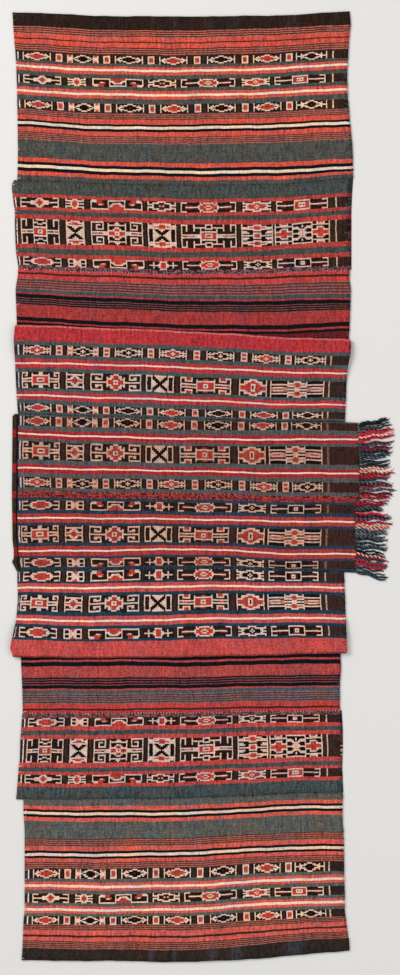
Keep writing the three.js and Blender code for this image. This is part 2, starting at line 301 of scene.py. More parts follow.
# The column at the middle of each block, in a band of thirteen blocks and in a band of seven
PLACES = {
    13: (8.8, 22.5, 36.5, 50.7, 64.5, 78, 91.6, 106.2, 120.7, 134.8, 148.8, 162, 175.8),
    7: (12, 32.6, 57.3, 84.7, 112.9, 141.3, 168.4),
}


def block(name, over):
    """A whole block, row by row."""
    if name == "meander":
        rows = [row + row[-2::-1] for row in MEANDER]
        return rows[::-1] if over else rows
    skip = -1 if name in EVEN else -2
    rows = [row + row[skip::-1] for row in CHARTS[name]]
    return rows + rows[-2::-1]


def placed_blocks(name):
    """Each block of a band, with the columns that it starts and ends at."""
    found = []
    blocks = [block(one, name.endswith("_over")) for one in BANDS[name]]
    for one, middle in zip(blocks, PLACES[len(blocks)]):
        wide = len(one[0])
        left = int(np.clip(round(middle - wide / 2), 0, BLOCK_CELLS - wide))
        found.append((one, left, left + wide))
    return found


def band_chart(name):
    """A band's letters, row by row, one for each column under its blocks."""
    blocks = placed_blocks(name)
    chart = np.full((len(blocks[0][0]), BLOCK_CELLS), "g")
    for one, left, right in blocks:
        chart[:, max(left - 1, 0):right + 1] = "."
        for r, row in enumerate(one):
            chart[r, left:right] = list(row)
    return chart


BAND_CHARTS = {name: band_chart(name) for name in BANDS}
LINE_PULL = 0.52  # how much narrower a column or row gets where it is all white, as white lines are fine


def finer(sizes, groups):
    """Places of the lines between cells, from their sizes, with each group of cells as wide as before."""
    places = [0.0]
    for start, end in groups:
        part = sizes[start:end] * (end - start) / sizes[start:end].sum()
        places += list(start + np.cumsum(part))
    return np.array(places)


def column_places(name):
    """Where a band's columns lie, in columns."""
    sizes = 1 - LINE_PULL * (BAND_CHARTS[name] == "w").mean(axis=0)
    edges = sorted({0, BLOCK_CELLS, *(column for one in placed_blocks(name) for column in one[1:])})
    inner = MARGIN_CELLS + finer(sizes, list(zip(edges, edges[1:])))
    return np.r_[np.arange(MARGIN_CELLS), inner, np.arange(BLOCKS_END + 1, CELLS + 1)]


def row_places(name):
    """Where a band's rows start, as shares of its height."""
    sizes = 1 - LINE_PULL * (BAND_CHARTS[name] == "w").mean(axis=1)
    return finer(sizes, [(0, len(sizes))]) / len(sizes)


COLUMN_PLACES = {name: column_places(name) for name in BANDS}
ROW_PLACES = {name: row_places(name) for name in BANDS}


def trio(colour, *widths):
    """A white stripe between two of one colour."""
    return list(zip((colour, "white", colour), widths))


def fine(first, second, count, wide, share=0.5):
    """Narrow stripes of two yarns in turn, where share says how much of each pair is the first."""
    pair = ((first, share), (second, 1 - share))
    return [(name, 2 * part * wide / count) for name, part in (pair[i % 2] for i in range(count))]


# Stripes of each panel, from its upper seam down: the yarn or band, and its width
STRIPES = {
    "hem_panel_upper": [
        ("hem", 22.2), *fine("pink", "dark", 7, 12.4), ("red", 6.6), ("dark", 2), ("red", 7.9),
        *fine("dark", "pink", 7, 12.4), ("ground", 1.4), ("diamonds", 12.6), ("teal", 5),
        *trio("red", 4.1, 3.6, 5.5), ("teal", 7), ("keys", 13.5), ("teal", 6.2), *trio("red", 5, 3.6, 5),
        ("teal", 8), ("diamonds", 13), ("ground", 0.8), *fine("plum", "rosy", 7, 10.2), ("red", 7.6),
        ("black", 3.4), ("cream", 4.3), ("black", 4.5), ("red", 7.7), *fine("plum", "rosy", 8, 12.5),
        ("teal", 29.7), ("red", 6.6), ("black", 5), ("cream", 4.8), ("black", 5.9), ("red", 6.6),
        ("teal", 9.6),
    ],
    "band_panel_upper": [
        ("teal", 22.3), ("red", 5.4), ("keys_over", 16), ("red", 5), ("teal", 6.6), ("red", 7.4),
        ("wide", 41.3), ("red", 6.6), ("teal", 8.3), ("red", 5.8), ("dark_keys", 13.2), ("dotted", 7.4),
    ],
    "fringed_panel_upper": [
        ("grey", 3.4), ("diamonds", 15.4), ("grey", 7.4), *trio("crimson", 4.8, 2.5, 5.7), ("grey", 5),
        ("middle", 29.7), ("grey", 8), *trio("crimson", 5.3, 2.5, 6.5), ("grey", 7.4), ("eyes", 16.5),
        ("grey", 6.2), ("speckled", 7.4),
    ],
    "fringed_panel_lower": [
        ("speckled", 3.2), ("blue", 5.3), ("dark_keys_over", 15), ("blue", 6.2),
        *trio("crimson", 6, 2.6, 6.5), ("blue", 5), ("middle", 28.4), ("blue", 6),
        *trio("crimson", 6.5, 2.6, 6.7), ("blue", 3.6), ("dark_keys", 15), ("blue", 6.4),
    ],
    "band_panel_lower": [
        ("dotted", 8), ("dark_keys_over", 14), ("red", 6.6), ("teal", 7.2), ("red", 6.6), ("wide", 38.4),
        ("red", 8), ("teal", 7.2), ("red", 5), ("keys", 14.2), ("red", 5.8), ("teal", 21),
    ],
    "hem_panel_lower": [
        ("teal", 10), ("red", 5.8), ("black", 3.8), ("cream", 4.2), ("black", 4.6), ("red", 6.4),
        ("teal", 29.7), *fine("plum", "rosy", 8, 13), ("red", 6.6), ("black", 4), ("cream", 4.5),
        ("black", 3.9), ("red", 6.2), *fine("plum", "rosy", 7, 11.8), ("diamonds", 15), ("teal", 5),
        *trio("red", 4.3, 4, 4.6), ("teal", 6.6), ("keys_over", 15), ("teal", 5.2),
        *trio("red", 4.3, 4, 4.3), ("teal", 5.4), ("diamonds", 13.4), *fine("rosy", "dark", 7, 10),
        ("red", 7.2), ("dark", 3.3), ("red", 6.6), *fine("dark", "rosy", 8, 12), ("hem", 20.5),
    ],
}
# A tuck panel's plain stripes, from its outer seam to where they run under the fold
PLAIN_STRIPES = {
    "tuck_panel_upper": [
        ("red", 4.8), ("dark", 3.2), ("red", 6.2), *fine("mauve", "plum", 9, 18), ("slate", 5.5),
        ("rust", 2.5), ("black", 6.2), *fine("brown", "black", 7, 12.5, 0.36), ("rust", 19.5),
        # The last maroon stripe is the red that runs under the fold, darkened as painted shade
        ("black", 6.3), ("rust", 2.6), ("black", 3.5), ("maroon", 9.7),
    ],
    "tuck_panel_lower": [
        ("red", 5), ("dark", 3.2), ("red", 7.6), *fine("mauve", "plum", 9, 17), ("slate", 5.5), ("rust", 2.6),
        ("black", 5.6), *fine("brown", "black", 7, 13.9, 0.38), ("rust", 17), ("black", 7), ("rust", 3.3),
        # The last black stripe is a real black one that also carries the fold's painted shadow, and the
        # maroon after it is the red under the fold in painted shade
        ("black", 5), ("maroon", 10.7),
    ],
}
# And the stripes that show from its fold to its inner seam
FOLD_STRIPES = {
    "tuck_panel_upper": [
        ("crimson", 25.5), ("grey", 6.5), ("eyes", 15.7), ("grey", 6.8), *trio("crimson", 6.1, 2.6, 6.4),
        ("grey", 6.4), ("middle", 26.4), ("grey", 5.4), *trio("crimson", 5.1, 2.6, 5.5), ("grey", 7),
        ("diamonds", 12.6), ("grey", 5.4),
    ],
    "tuck_panel_lower": [
        ("crimson", 29), ("blue", 4.1), ("dark_keys_over", 16.5), ("blue", 5),
        *trio("crimson", 5.9, 2.9, 6), ("blue", 6.6), ("middle", 25.6), ("blue", 5),
        *trio("crimson", 5.8, 2.9, 5.7), ("blue", 3.4), ("dark_keys", 15.2), ("blue", 1.8),
    ],
}
# Where the ikat blocks start and end, as (Y, X), which column has the white bar at each end, and how many
# columns at the left are the strip of the lower layer that shows there
BLOCKS = {
    "hem_panel_upper": dict(
        start=[(713, -299), (672, -298), (630, -296)], end=[(713, 203), (630, 203)], bars=(1, 4),
    ),
    "band_panel_upper": dict(
        start=[(469, -303), (421, -302), (373, -298)], end=[(469, 207), (373, 208)], bars=(1, 5),
    ),
    "tuck_panel_upper": dict(
        start=[(226, -298), (177, -301), (130, -297)], end=[(208, 201), (162, 198), (117, 196)], bars=(2, 3),
    ),
    "fringed_panel_upper": dict(
        start=[(105, -298), (58, -300), (8, -298)], end=[(105, 194), (8, 196)], bars=(4, 2), strip=2,
    ),
    "fringed_panel_lower": dict(
        start=[(-30, -300), (-78, -302), (-125, -297)], end=[(-30, 196), (-125, 191)], bars=(4, 2), strip=2,
    ),
    "tuck_panel_lower": dict(
        start=[(-149, -298), (-192, -303), (-240, -305)], end=[(-149, 191), (-192, 193), (-240, 198)],
        bars=(1, 3),
    ),
    "band_panel_lower": dict(
        start=[(-386, -290), (-434, -293), (-482, -296)], end=[(-386, 193), (-434, 196), (-482, 194)],
        bars=(2, 4),
    ),
    "hem_panel_lower": dict(start=[(-638, -282), (-716, -284)], end=[(-638, 199), (-716, 202)], bars=(2, 3)),
}
# The lower layer's yarns where it shows past a panel's right edge, down from these heights
UNDER_YARNS = {
    "band_panel_upper": [
        (509, ("slate", "sand", "smoke")), (474, ("scarlet", "sand", "slate")), (462, ("slate", "smoke")),
        (452, ("scarlet", "mauve")), (420, ("mauve", "steel", "scarlet")), (397, ("steel", "slate", "smoke")),
    ],
    "band_panel_lower": [
        (-369, ("steel", "smoke")), (-405, ("mauve", "scarlet")), (-420, ("scarlet", "sand")),
        (-444, ("mauve", "slate")), (-480, ("slate", "steel")),
    ],
}

# Lines down each flat panel, as Y at the stations, and the cloth's edges as (Y, X)
FLAT_PANELS = {
    "hem_panel_upper": dict(
        lines=[
            [783, 777, 776, 778, 784], [761, 754, 753, 757, 762], [694, 687, 686, 690, 697],
            [654, 648, 647, 651, 657], [601, 592, 592, 595, 600], [574, 566, 565, 568, 573],
            [531, 523, 519, 521, 526], HEM_SEAM_UPPER,
        ],
        left=[
            (783, -316), (762, -315), (734, -313), (713, -311), (670, -309), (624, -308), (556, -307),
            (506, -308),
        ],
        right=[
            (784, 240), (762, 242), (747, 240), (734, 239), (700, 237), (676, 236), (658, 237), (642, 237),
            (622, 239), (556, 245), (509, 246),
        ],
    ),
    "band_panel_upper": dict(
        lines=[
            HEM_SEAM_UPPER, [469, 465, 460, 463, 469], [443, 438, 433, 434, 442], [401, 399, 394, 399, 406],
            [374, 368, 366, 369, 373], BAND_SEAM_UPPER,
        ],
        left=[
            (506, -313), (503, -317), (490, -317), (475, -315), (454, -312), (431, -312), (401, -311),
            (383, -310), (375, -308), (359, -306),
        ],
        right=[(509, 238), (480, 238), (454, 239), (431, 236), (401, 239), (387, 241), (359, 240)],
        under=[(509, 246), (480, 244), (454, 243), (359, 243)],
    ),
    "fringed_panel_upper": dict(
        lines=[
            TUCK_SEAM_UPPER, [108, 106, 101, 102, 100], [88, 83, 79, 78, 79], [61, 56, 52, 53, 51],
            [31, 28, 25, 22, 22], [8, 5, 4, 0, -1], MIDDLE_SEAM,
        ],
        left=[(120, -312), (116, -316), (-14, -317)],
        right=[(105, 253), (90, 254), (50, 256), (-19, 256)],
    ),
    "fringed_panel_lower": dict(
        lines=[
            MIDDLE_SEAM, [-30, -31, -34, -36, -36], [-51, -52, -54, -57, -58], [-78, -78, -80, -83, -84],
            [-106, -105, -103, -110, -111], [-125, -126, -124, -130, -130], TUCK_SEAM_LOWER,
        ],
        left=[(-14, -317), (-88, -316), (-104, -314), (-118, -314), (-123, -317), (-139, -309)],
        right=[(-19, 250), (-84, 249), (-100, 251), (-118, 251), (-141, 248)],
    ),
    "band_panel_lower": dict(
        lines=[
            BAND_SEAM_LOWER, [-389, -387, -385, -381, -382], [-435, -435, -432, -428, -426],
            [-482, -482, -478, -472, -470], HEM_SEAM_LOWER,
        ],
        left=[
            (-374, -300), (-391, -301), (-413, -303), (-452, -304), (-464, -306), (-482, -307), (-516, -310),
        ],
        right=[(-369, 224), (-427, 225), (-507, 226)],
        under=[(-369, 227), (-400, 229), (-430, 229), (-462, 228), (-507, 230)],
    ),
    "hem_panel_lower": dict(
        lines=[
            HEM_SEAM_LOWER, [-537, -539, -537, -529, -527], [-581, -581, -578, -571, -569],
            [-606, -607, -603, -596, -595], [-639, -639, -636, -628, -627], [-656, -659, -656, -648, -646],
            [-677, -679, -674, -667, -665], [-696, -698, -695, -686, -685], [-714, -714, -712, -705, -702],
            [-761, -763, -763, -751, -744], [-781, -782, -783, -775, -765],
        ],
        left=[
            (-516, -298), (-538, -298), (-563, -296), (-700, -296), (-718, -298), (-749, -299), (-767, -300),
            (-781, -301),
        ],
        right=[
            (-507, 229), (-543, 228), (-566, 230), (-620, 231), (-676, 232), (-700, 232), (-713, 234),
            (-736, 237), (-754, 240), (-765, 240),
        ],
    ),
}
# Tuck panels: way is the direction in Y in which each sets out from its outer seam
TUCK_PANELS = {
    "tuck_panel_upper": dict(
        way=-1,
        plain_lines=[
            BAND_SEAM_UPPER, [317, 310, 304, 305, 307], [278, 270, 264, 264, 269], [259, 251, 243, 240, 244],
        ],
        lines=[
            FOLD_UPPER, [227, 222, 217, 210, 208], [205, 202, 196, 190, 187], [178, 174, 167, 162, 161],
            [153, 148, 143, 137, 136], [131, 125, 120, 117, 117], TUCK_SEAM_UPPER,
        ],
        plain_left=[(359, -307), (350, -307), (338, -309), (325, -311), (274, -309), (200, -310)],
        plain_right=[(359, 240), (342, 240), (325, 242), (292, 241), (265, 240), (250, 239), (200, 238)],
        left=[(268, -309), (265, -312), (244, -314), (213, -312), (165, -310), (148, -309), (120, -307)],
        right=[
            (244, 238), (240, 242), (234, 243), (216, 241), (196, 237), (172, 235), (147, 234), (105, 232),
        ],
    ),
    "tuck_panel_lower": dict(
        way=1,
        plain_lines=[
            BAND_SEAM_LOWER, [-330, -330, -328, -325, -325], [-292, -290, -291, -287, -287],
            [-271, -269, -270, -266, -264],
        ],
        lines=[
            FOLD_LOWER, [-239, -243, -238, -237, -238], [-219, -222, -218, -217, -217],
            [-193, -194, -191, -191, -193], [-167, -167, -164, -165, -167], [-148, -147, -144, -147, -149],
            TUCK_SEAM_LOWER,
        ],
        plain_left=[(-374, -299), (-332, -300), (-289, -302), (-220, -302)],
        plain_right=[(-369, 224), (-322, 224), (-302, 226), (-280, 225), (-220, 225)],
        left=[
            (-284, -313), (-281, -315), (-266, -320), (-220, -310), (-186, -307), (-155, -308), (-139, -308),
        ],
        right=[(-277, 228), (-271, 236), (-218, 234), (-145, 231)],
    ),
}

# Broad lifts of the upper layer, as the model has them: x, y, half width, half length, height
LIFTS = [
    (60, 735, 190, 55, 1.2), (-140, 545, 150, 70, 1.0), (120, 430, 140, 60, 0.9), (-120, 50, 160, 60, 0.9),
    (90, -75, 150, 55, 0.9), (-60, -450, 170, 70, 1.1), (20, -745, 130, 60, 1.6),
]
# Soft creases in the upper layer: x, y, half width, half length, height, and turn in degrees
CREASES = [
    (-90, -765, 7, 26, 0.7, 4), (-52, -762, 6, 30, 0.8, -3), (4, -762, 9, 34, 0.9, 2),
    (22, -766, 6, 24, 0.6, -5), (48, -760, 10, 30, 0.8, 6), (-150, 770, 12, 30, 0.5, 5),
    (90, 768, 10, 26, 0.5, -6), (-20, 590, 60, 9, 0.5, 0), (60, -560, 90, 10, 0.5, 2),
    (-200, 455, 14, 45, 0.4, 0), (150, 60, 16, 50, 0.4, 3), (-60, -210, 80, 10, 0.5, 0),
]


def smooth(t):
    """An even start and end for a share between 0 and 1."""
    return t * t * (3 - 2 * t)


def heights_at(heights, x):
    """A line's Y at x: a smooth curve through its stations, going straight on past both ends."""
    h = np.asarray(heights, float)
    rise = np.diff(h) / np.diff(STATIONS)
    slope = (np.r_[rise[0], rise] + np.r_[rise, rise[-1]]) / 2
    i = np.clip(np.searchsorted(STATIONS, x, side="right") - 1, 0, len(h) - 2)
    span = STATIONS[i + 1] - STATIONS[i]
    t = np.clip((x - STATIONS[i]) / span, 0, 1)
    bend = (slope[i] * (1 - t) - slope[i + 1] * t) * span * t * (1 - t)
    beyond = np.where(x < STATIONS[0], slope[0] * (x - STATIONS[0]), 0)
    beyond = beyond + np.where(x > STATIONS[-1], slope[-1] * (x - STATIONS[-1]), 0)
    return h[i] + (h[i + 1] - h[i]) * smooth(t) + bend + beyond


# The cloth's small unevenness: how tall its slow and quick waves are, and how far its wefts wander
SLOW_RELIEF = 0.10
QUICK_RELIEF = 0.07
SLOW_WANDER = 0.45
MIDDLE_WANDER = 0.3
QUICK_WANDER = 0.16


def relief(x, y):
    """How far the upper layer stands off the layer below, past its usual gap."""
    high = SLOW_RELIEF * (1 + np.sin(x / 17 + 1.3 * np.sin(y / 31)) * np.sin(y / 23 + 0.9 * np.sin(x / 41)))
    high = high + QUICK_RELIEF * (1 + np.sin(x / 7.3 + y / 19) * np.sin(y / 11 - x / 29))
    for cx, cy, wide, long, tall in LIFTS:
        away = np.hypot((x - cx) / wide, (y - cy) / long)
        high = high + np.where(away < 1, tall * smooth(np.clip(1 - away, 0, 1)), 0)
    for cx, cy, wide, long, tall, turn in CREASES:
        a = math.radians(turn)
        across = ((x - cx) * math.cos(a) + (y - cy) * math.sin(a)) / wide
        along = ((y - cy) * math.cos(a) - (x - cx) * math.sin(a)) / long
        high = high + tall * np.exp(-across ** 2 - along ** 2)
    return high


def edge_at(points, y):
    """An edge's X at height y, from its (Y, X) points."""
    pairs = sorted(points)
    return float(np.interp(y, [p[0] for p in pairs], [p[1] for p in pairs]))


def row(heights, look, shift=0.0, z=FLOOR, face=(0.0, 1.0), left=None, right=None, under=None):
    """One row of a panel's grid. look is what its strip of faces, up to the next row, is coloured with."""
    return dict(heights=heights, look=look, shift=shift, z=z, face=face, left=left, right=right, under=under)


def strips(stripes):
    """Every strip of faces in a list of stripes: its look, and how far down it starts."""
    found = []
    start = 0.0
    for name, wide in stripes:
        if name in BANDS:
            parts = [(name, r) for r in range(len(BAND_CHARTS[name]))]
        else:
            high = FINE_ROW if name in SPECKLES else ROW_HIGH
            parts = [(name, None)] * max(1, math.ceil(wide / high))
        places = ROW_PLACES.get(name, np.arange(len(parts)) / len(parts))
        for part, place in zip(parts, places):
            found.append((part, start + wide * place))
        start += wide
    return found, start


def between(lines, s):
    """The heights at share s of the way down a list of lines, measured along their left ends."""
    lines = np.array(lines, float)
    shares = (lines[:, 0] - lines[0, 0]) / (lines[-1, 0] - lines[0, 0])
    i = int(np.clip(np.searchsorted(shares, s, side="right") - 1, 0, len(lines) - 2))
    t = (s - shares[i]) / (shares[i + 1] - shares[i])
    return (1 - t) * lines[i] + t * lines[i + 1]


def set_edges(one, left, right, under=None, blocks=None):
    """Give a row its edges' places, and where the columns under the blocks start and end in it."""
    y_left = one["heights"][0] + one["shift"]
    y_right = one["heights"][-1] + one["shift"]
    one["left"] = edge_at(left, y_left)
    one["right"] = edge_at(right, y_right)
    one["under"] = edge_at(under or right, y_right)
    one["start"] = edge_at(blocks["start"], y_left) if blocks else one["left"] + PLAIN_START
    one["end"] = edge_at(blocks["end"], y_right) if blocks else one["right"] - PLAIN_END
    return one


def flat_rows(name):
    """The rows of a flat panel, from its upper seam down."""
    spec = FLAT_PANELS[name]
    found, total = strips(STRIPES[name])
    rows = [row(between(spec["lines"], start / total), look) for look, start in found]
    rows.append(row(np.array(spec["lines"][-1], float), None))
    rows[0]["shift"] = -SEAM_GAP / 2
    rows[-1]["shift"] = SEAM_GAP / 2
    return [set_edges(one, spec["left"], spec["right"], spec.get("under"), BLOCKS[name]) for one in rows]


def turn_rows(heights, look, middle, z, way, side):
    """Rows round a half turn that lifts the cloth onto the next part of the stack."""
    rows = []
    for i in range(TURN_STEPS + 1):
        turn = math.pi * i / TURN_STEPS
        face = (-way * math.sin(turn), side * math.cos(turn))
        rows.append(row(heights, look, middle - side * TURN * face[0], z - side * TURN * face[1], face))
    return rows


def tuck_rows(name):
    """The rows of a tuck panel, from its outer seam, round the tuck and on to its inner seam."""
    spec = TUCK_PANELS[name]
    way = spec["way"]
    lines = spec["lines"]
    fold = np.array(lines[0], float)
    found, total = strips(PLAIN_STRIPES[name])
    plain = [row(between(spec["plain_lines"], start / total), look) for look, start in found]
    plain[0]["shift"] = way * SEAM_GAP / 2
    # Round the turn under the fold the cloth keeps the same painted shade
    plain += turn_rows(fold, ("maroon", None), way * TUCK_DEPTH, FLOOR + TURN, way, 1)
    for one in plain:
        set_edges(one, spec["plain_left"], spec["plain_right"])
    # The turn at the fold takes the fold edge's colour: a painted highlight on the upper tuck and painted
    # shade on the lower one
    rows = turn_rows(fold, ("fold_edge", None), way * (TURN + TUBE / 2), FLOOR + TUCK_STEP + TURN, way, -1)
    found, total = strips(FOLD_STRIPES[name])
    rows[-1]["look"] = found[0][0]
    for look, start in found:
        if start <= FOLD_SHOWN:
            continue
        t = np.clip((start - TUCK_DEPTH - TUCK_TAIL) / SLOPE, 0, 1)
        tilt = math.atan((STACK - FLOOR) * 6 * t * (1 - t) / SLOPE)
        z = STACK + (FLOOR - STACK) * smooth(t)
        face = (way * math.sin(tilt), math.cos(tilt))
        rows.append(row(between(lines, start / total), look, 0.0, z, face))
    rows.append(row(np.array(lines[-1], float), None, -way * SEAM_GAP / 2))
    for one in rows:
        set_edges(one, spec["left"], spec["right"], blocks=BLOCKS[name])
    return plain + rows


def course():
    """A panel's section from the right end of the upper layer, round the left edge, to the right end of the
    lower one: how far right each place is, its part, and the direction out of the section."""
    turns = [math.pi * i / TURN_STEPS for i in range(TURN_STEPS + 1)]
    points = [(i / CELLS, "upper", (0.0, 1.0)) for i in range(CELLS, 0, -1)]
    points += [(0.0, "turn", (-math.sin(turn), math.cos(turn))) for turn in turns]
    points += [(i / BACK_COLUMNS, "lower", (0.0, -1.0)) for i in range(1, BACK_COLUMNS + 1)]
    return points


COURSE = course()
JITTER = 0.2  # how far a column strays from row to row
RAGGED_SWING = 0.35  # how far the right edge swings from row to row, how fast, and how far it strays
RAGGED_TURN = 1.9
RAGGED_STRAY = 0.15
GROOVE_DEEP = 0.45  # the groove beside the lower layer's strip at the left, as a bell curve
GROOVE_AT = 7
GROOVE_WIDE = 1.6
EDGE_FLAT = 12  # the upper layer's relief starts over this width from the left edge


def wander(x, y):
    """How far the weft lines stray up or down, as hand weaving does."""
    slow = SLOW_WANDER * np.sin(x / 24 + 1.3 * np.sin(y / 47)) + MIDDLE_WANDER * np.sin(x / 9.3 + y / 31)
    return slow + QUICK_WANDER * np.sin(x / 4.1 - y / 17)


def band_at(rows, r):
    """The ikat band whose columns row r has: its own, or else that of the row before it."""
    for near in (rows[r], rows[max(r - 1, 0)]):
        if near["look"] and near["look"][0] in BANDS:
            return near["look"][0]
    return None


def panel_grid(rows, strip):
    """Points of a panel: rows, then the outer and the inner skin, then places along the section."""
    share = np.array([p[0] for p in COURSE])
    part = np.array([p[1] for p in COURSE])
    away = np.array([p[2] for p in COURSE])
    upper = part == "upper"
    half = STEP / 2
    even = np.arange(CELLS + 1)
    stops = [0, MARGIN_CELLS, BLOCKS_END, CELLS]
    jitter = DICE.normal(0, JITTER, (len(rows), len(COURSE))) * upper
    grid = np.zeros((len(rows), 2, len(COURSE), 3))
    for r, one in enumerate(rows):
        centre = one["left"] + half + THICK / 2
        ragged = RAGGED_SWING * math.sin(r * RAGGED_TURN) + DICE.normal(0, RAGGED_STRAY)
        places = np.interp(share * CELLS, even, COLUMN_PLACES.get(band_at(rows, r), even))
        front = np.interp(places, stops, [centre, one["start"], one["end"], one["right"] + ragged])
        back = centre + (one["under"] - centre) * share
        x_mid = np.where(upper, front, back) + half * away[:, 0] * (part == "turn") + jitter[r]
        up_mid = half * away[:, 1]
        groove = GROOVE_DEEP * np.exp(-((x_mid - one["left"] - GROOVE_AT) / GROOVE_WIDE) ** 2) * bool(strip)
        for skin, side in enumerate((THICK / 2, -THICK / 2)):
            x = x_mid + side * away[:, 0]
            y = heights_at(one["heights"], x) + one["shift"] + wander(x, one["heights"][0] + one["shift"])
            rise = relief(x, y) * np.clip((x - one["left"]) / EDGE_FLAT, 0, 1) - groove
            up = up_mid + side * away[:, 1] + upper * rise
            grid[r, skin, :, 0] = x
            grid[r, skin, :, 1] = y + up * one["face"][0]
            grid[r, skin, :, 2] = one["z"] + up * one["face"][1]
    return grid


LETTERS = {
    "g": "ground", ".": "between", "w": "pattern", "p": "pattern_pink", "r": "pattern_red", "m": "maroon",
    "k": "pattern_dark",
}
# Painted highlights along the creases across each hem: X, half width and how much of the highlight colour
# shows
HEM_CREASE_HIGHLIGHTS = {
    "hem_panel_upper": [(-88, 3, 0.2), (-52, 4, 0.25), (4, 8, 0.2), (46, 10, 0.2), (140, 12, 0.2)],
    "hem_panel_lower": [(-90, 4, 0.4), (-51, 3, 0.35), (10, 9, 0.3), (50, 9, 0.35), (146, 14, 0.3)],
}
# Stripes that are speckled with two yarns: the share of the lighter one, then each yarn and its tone
SPECKLES = {
    "dotted": (0.6, "mauve", 1, "plum", 1),
    "speckled": (0.66, "rust", 1.15, "maroon", 0.7),
}
# How much of the lower layer's own yarn shows past the right edge, with the chance of each share
UNDER_SHARES = [0, 0.25, 0.8]
UNDER_CHANCES = [0.5, 0.25, 0.25]
# The lower layer past the right edge starts from the upper layer's colour darkened this much: painted shade
# beside the upper layer's edge
UNDER_SHADE = 0.7
YARN_SPREAD = 0.06


def stripe_tones(node, name):
    """One colour for each column of a stripe that isn't an ikat band."""
    if name in SPECKLES:
        share, light, light_tone, dark, dark_tone = SPECKLES[name]
        is_light = DICE.random(CELLS) < share
        return np.where(is_light[:, None], yarn(node, light) * light_tone, yarn(node, dark) * dark_tone)
    return np.tile(yarn(node, name), (CELLS, 1))


def strip_colours(node, one):
    """The colours along one strip's outer skin, section place by section place."""
    name, chart_row = one["look"]
    spec = BLOCKS[node]
    if name in BANDS:
        back = yarn(node, "ground")
        cells = np.tile(back, (CELLS, 1))
        for i, letter in enumerate(BAND_CHARTS[name][chart_row]):
            cells[MARGIN_CELLS + i] = yarn(node, LETTERS[letter])
        cells[spec["bars"][0]] = yarn(node, "bar")
        cells[BLOCKS_END + spec["bars"][1]] = yarn(node, "end_bar")
    else:
        cells = stripe_tones(node, name)
        back = cells[0]
    if name == "hem":
        # Pale streaks along the hem's creases: painted highlights where the creases catch the light
        x = np.linspace(one["left"], one["right"], CELLS)
        crease_light = sum(depth * np.exp(-((x - place) / wide) ** 2) for place, wide, depth in HEM_CREASE_HIGHLIGHTS[node])
        crease_light = np.clip(crease_light, 0, 1)[:, None]
        cells = cells * (1 - crease_light) + yarn(node, "hem_crease_highlight") * crease_light
    if spec.get("strip"):
        bright = name in ("crimson", "white", "speckled")
        cells[:spec["strip"]] = yarn(node, "strip_red" if bright else "strip")
        # The column between the strip and the upper layer is painted shade in the gap there
        cells[spec["strip"]] = yarn(node, "gap")
    inner = np.tile(back, (len(COURSE) - 1, 1))
    colours = inner.copy()
    colours[:CELLS] = cells[::-1]
    y_right = one["heights"][-1] + one["shift"]
    shown = [names for top, names in UNDER_YARNS.get(node, []) if y_right <= top]
    if shown:
        pick = yarn(node, shown[-1][int(DICE.integers(len(shown[-1])))])
        # Painted shade: the lower layer by the upper layer's edge is darker than the same stripe above it
        plain = cells[-1] * UNDER_SHADE
        inner[CELLS + TURN_STEPS:] = plain + (pick - plain) * DICE.choice(UNDER_SHARES, p=UNDER_CHANCES)
    return colours * (1 + DICE.normal(0, YARN_SPREAD, (len(colours), 1))), inner


TOPS = {}  # points of each panel's upper face


def new_mesh(name, points, faces, colours=None):
    """A smooth mesh object, with one colour for each face."""
    mesh = bpy.data.meshes.new(name)
    mesh.from_pydata([tuple(p) for p in points], [], faces)
    mesh.polygons.foreach_set("use_smooth", [True] * len(mesh.polygons))
    if colours is not None:
        layer = mesh.color_attributes.new("yarn_colour", "FLOAT_COLOR", "CORNER")
        sizes = np.empty(len(mesh.polygons), dtype=np.int32)
        mesh.polygons.foreach_get("loop_total", sizes)
        rgba = np.c_[np.asarray(colours, float), np.ones(len(colours))]
        layer.data.foreach_set("color", np.repeat(rgba, sizes, axis=0).ravel())
    mesh.update()
    obj = bpy.data.objects.new(name, mesh)
    bpy.context.scene.collection.objects.link(obj)
    return obj


def panel_mesh(name, node, rows):
    """A panel as one closed skin: the outer and inner faces of each strip, its two ends, and both seams."""
    grid = panel_grid(rows, BLOCKS[node].get("strip"))
    count = len(COURSE)
    index = np.arange(grid[..., 0].size).reshape(grid.shape[:3])
    faces = []
    colours = []
    for r in range(len(rows) - 1):
        tint, inner = strip_colours(node, rows[r])
        for skin, order, tints in ((0, 1, tint), (1, -1, inner)):
            a, b = index[r, skin], index[r + 1, skin]
            faces += [(a[i], b[i], b[i + 1], a[i + 1])[::order] for i in range(count - 1)]
            colours += list(tints)
        for end, order in ((0, 1), (count - 1, -1)):
            ring = (index[r, 0, end], index[r, 1, end], index[r + 1, 1, end], index[r + 1, 0, end])
            faces.append(ring[::order])
            colours.append(tint[end - (end > 0)])
        for edge, order in ((0, 1), (len(rows) - 1, -1)):
            if r != min(edge, len(rows) - 2):
                continue
            for i in range(count - 1):
                ring = (index[edge, 0, i], index[edge, 0, i + 1], index[edge, 1, i + 1], index[edge, 1, i])
                faces.append(ring[::order])
                colours.append(tint[i])
    faces = [tuple(int(v) for v in face) for face in faces]
    TOPS[node] = grid[:, 0, :CELLS].reshape(-1, 3)
    obj = new_mesh(name, grid.reshape(-1, 3) * MM + SHIFT, faces, colours)
    if mesh_volume(obj.data) < 0:
        obj.data.flip_normals()
    return obj


